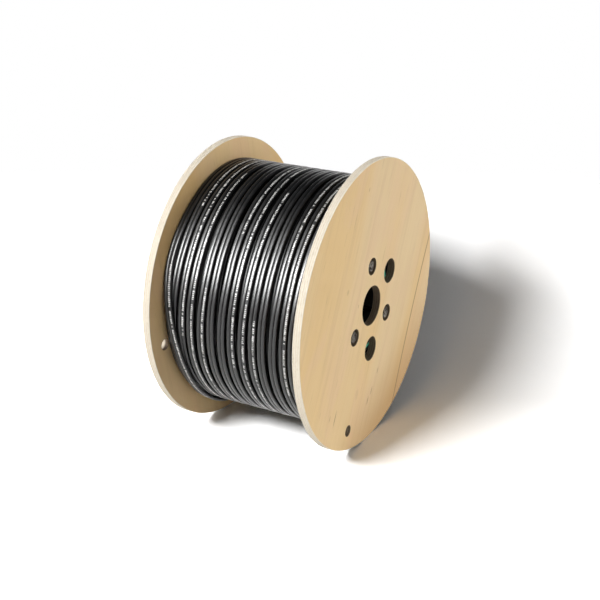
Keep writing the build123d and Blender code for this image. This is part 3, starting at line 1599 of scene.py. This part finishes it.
@dataclass
class Studio:
    """Paper sweep, lights and the camera at the photograph's viewing angle."""

    azimuth: float = math.radians(28.94)
    elevation: float = math.radians(22.66)
    distance: float = 1.5256
    lens: float = 69.38
    eye_right: float = 0.0050
    eye_up: float = -0.0133
    paper_half: float = 9.0
    paper_top: float = 0.42
    paper_front: float = 0.8
    flag_height: float = 1.5
    flag_reach: float = 0.8
    flag_half: float = 4.0
    sweep_start: float = 0.052
    sweep_radius: float = 0.170
    sweep_steps: int = 32
    # Azimuth and elevation in degrees, distance in metres, half sizes in degrees, level
    lights: tuple[Softbox, ...] = (
        Softbox("key", Use.DRUM, -25.0, 12.0, 4.0, 11.0, 20.0, 0.78),
        Softbox("top", Use.DRUM, -35.0, 72.0, 4.0, 11.0, 20.0, 0.46),
        Softbox("backdrop", Use.PAPER, -19.0, 38.0, 4.0, 9.0, 6.0, 1.6),
        Softbox("overhead", Use.PAPER, -18.0, 80.0, 4.0, 40.0, 40.0, 0.05),
        Softbox("sheen", Use.SHEEN, -31.0, 35.0, 4.0, 28.0, 18.0, 8.8),
        Softbox("side_fill", Use.DRUM, 104.0, 10.0, 3.0, 12.0, 8.0, 0.54),
        Softbox("front_fill", Use.DRUM, 58.0, 12.0, 3.0, 14.0, 10.0, 0.12),
    )
    world_level: float = 0.105
    world_seen: float = 1.0
    sight: float = 100.0

    @staticmethod
    def link_list(name: str, member: bpy.types.Object, state: str) -> bpy.types.Collection:
        """A collection that ties a light to an object or keeps it off.

        Args:
            name: The collection's name.
            member: The object.
            state: "INCLUDE" or "EXCLUDE".

        Returns:
            The new collection.
        """
        made = bpy.data.collections.new(name)
        made.objects.link(member)
        made.collection_objects[0].light_linking.link_state = state
        return made

    def strip(self, name: str, outline: list[Place], half: float, spans: list[int]) -> bpy.types.Object:
        """A strip that runs away from the camera and lies level across the view.

        Args:
            name: The strip's name.
            outline: Reaches away from the camera with their heights above the floor.
            half: Half of the strip's width.
            spans: Numbers of the places that a face starts from.

        Returns:
            The strip.
        """
        away = Vector((-math.sin(self.azimuth), math.cos(self.azimuth), 0.0))
        side = Vector((math.cos(self.azimuth), math.sin(self.azimuth), 0.0))
        verts = []
        for reach, rise in outline:
            spot = away * reach + Vector((0.0, 0.0, cad_box[0].z + rise))
            verts += [spot - side * half, spot + side * half]
        mesh = bpy.data.meshes.new(name)
        mesh.from_pydata(verts, [], [(2 * k, 2 * k + 1, 2 * k + 3, 2 * k + 2) for k in spans])
        return add_object(name, mesh)

    def add_paper(self) -> bpy.types.Object:
        """Lay the paper under the drum's rims and lead it up behind the drum.

        Returns:
            The paper.
        """
        size = self.sweep_radius
        outline = [(-self.paper_front, 0.0)]
        for k in range(self.sweep_steps + 1):
            turn = math.pi / 2 * k / self.sweep_steps
            outline.append((self.sweep_start + size * math.sin(turn), size * (1 - math.cos(turn))))
        outline.append((self.sweep_start + size, self.paper_top))
        paper = self.strip("paper", outline, self.paper_half, list(range(len(outline) - 1)))
        paper.data.shade_smooth()
        paper.data.materials.append(PaperFinish().material())
        return paper

    def add_flag(self) -> None:
        """Hang black cloth above the paper and over the drum, and lay it before the paper.

        Only reflections show it.
        """
        wall = self.sweep_start + self.sweep_radius
        outline = [
            (wall, self.paper_top), (wall, self.flag_height), (-self.flag_reach, self.flag_height),
            (-self.paper_front, 0.0), (-self.flag_half, 0.0),
        ]
        flag = self.strip("flag", outline, self.flag_half, [0, 1, 3])
        flag.data.materials.append(FlagFinish().material())
        for ray in ("camera", "diffuse", "transmission", "shadow"):
            setattr(flag, f"visible_{ray}", False)

    def add_world(self) -> None:
        """Surround the drum with even pale light that the camera sees as white."""
        world = bpy.data.worlds.new("studio")
        world.use_nodes = True
        world.node_tree.nodes.clear()
        graph = Graph(world.node_tree)
        lit = graph.node("ShaderNodeBackground", sockets={"Color": WHITE, "Strength": self.world_level})
        seen = graph.node("ShaderNodeBackground", sockets={"Color": WHITE, "Strength": self.world_seen})
        mixed = graph.node("ShaderNodeMixShader", sockets={0: graph.looked_at(), 1: lit, 2: seen})
        graph.node("ShaderNodeOutputWorld", sockets={"Surface": mixed})
        bpy.context.scene.world = world

    def add_camera(self) -> None:
        """Set the camera where the photograph was taken from."""
        flat, rise = math.cos(self.elevation), math.sin(self.elevation)
        right = Vector((math.cos(self.azimuth), math.sin(self.azimuth), 0.0))
        back = Vector((math.sin(self.azimuth) * flat, -math.cos(self.azimuth) * flat, rise))
        up = back.cross(right)
        camera = bpy.data.cameras.new("camera")
        camera.lens = self.lens
        camera.clip_end = self.sight
        made = bpy.data.objects.new("camera", camera)
        eye = back * self.distance + right * self.eye_right + up * self.eye_up
        made.matrix_world = Matrix.Translation(eye) @ Matrix((right, up, back)).transposed().to_4x4()
        bpy.context.collection.objects.link(made)
        bpy.context.scene.camera = made

    def build(self) -> None:
        """Build the studio."""
        bpy.context.scene.view_settings.view_transform = "Standard"
        self.add_flag()
        paper = self.add_paper()
        receivers = {
            Use.PAPER: self.link_list("paper_alone", paper, "INCLUDE"),
            Use.DRUM: self.link_list("all_but_paper", paper, "EXCLUDE"),
        }
        for light in self.lights:
            light.build(receivers)
        self.add_world()
        self.add_camera()


# Place on the face, half length along the grain, half width, strength
NEAR_MARKS = (
    Mark(-0.068, 0.042, 0.005, 0.0030, 0.25),
    Mark(-0.038, 0.013, 0.004, 0.0008, 0.55),
    Mark(0.006, -0.124, 0.008, 0.0011, 0.8),
    Mark(-0.005, -0.134, 0.008, 0.0011, 0.8),
    Mark(0.024, -0.102, 0.006, 0.0009, 0.8),
    Mark(-0.099, -0.117, 0.014, 0.0011, 0.8),
    Mark(-0.113, -0.111, 0.006, 0.0009, 0.6),
    Mark(-0.038, -0.110, 0.010, 0.0050, 0.12),
    Mark(-0.014, 0.158, 0.004, 0.0018, 0.35),
    Mark(-0.050, 0.128, 0.014, 0.0016, 0.18),
)


def main() -> None:
    """Build the drum's pieces in order, then the studio."""
    logging.basicConfig(level=logging.INFO, format="%(name)s %(message)s")
    Studio().build()
    # The near face gets painted shade towards its lower edge.
    Flange(Side.NEAR, VeneerFinish(name="near_veneer", aged_share=0.9, marks=NEAR_MARKS)).build()
    # Painted shade: the far veneer's warmer, deeper colours stand for its inner face in the drum's shade; its
    # grain angle and shift are its own.
    far_veneer = VeneerFinish(
        name="far_veneer", pale=(0.77, 0.56, 0.295), honey=(0.77, 0.52, 0.23), blush=(0.77, 0.50, 0.29),
        grain_angle=math.radians(-12), shift=4.0,
    )
    Flange(Side.FAR, far_veneer).build()
    Winding().build()
    TieHardware().build()
    dress_barrel()


if __name__ == "__main__":
    main()
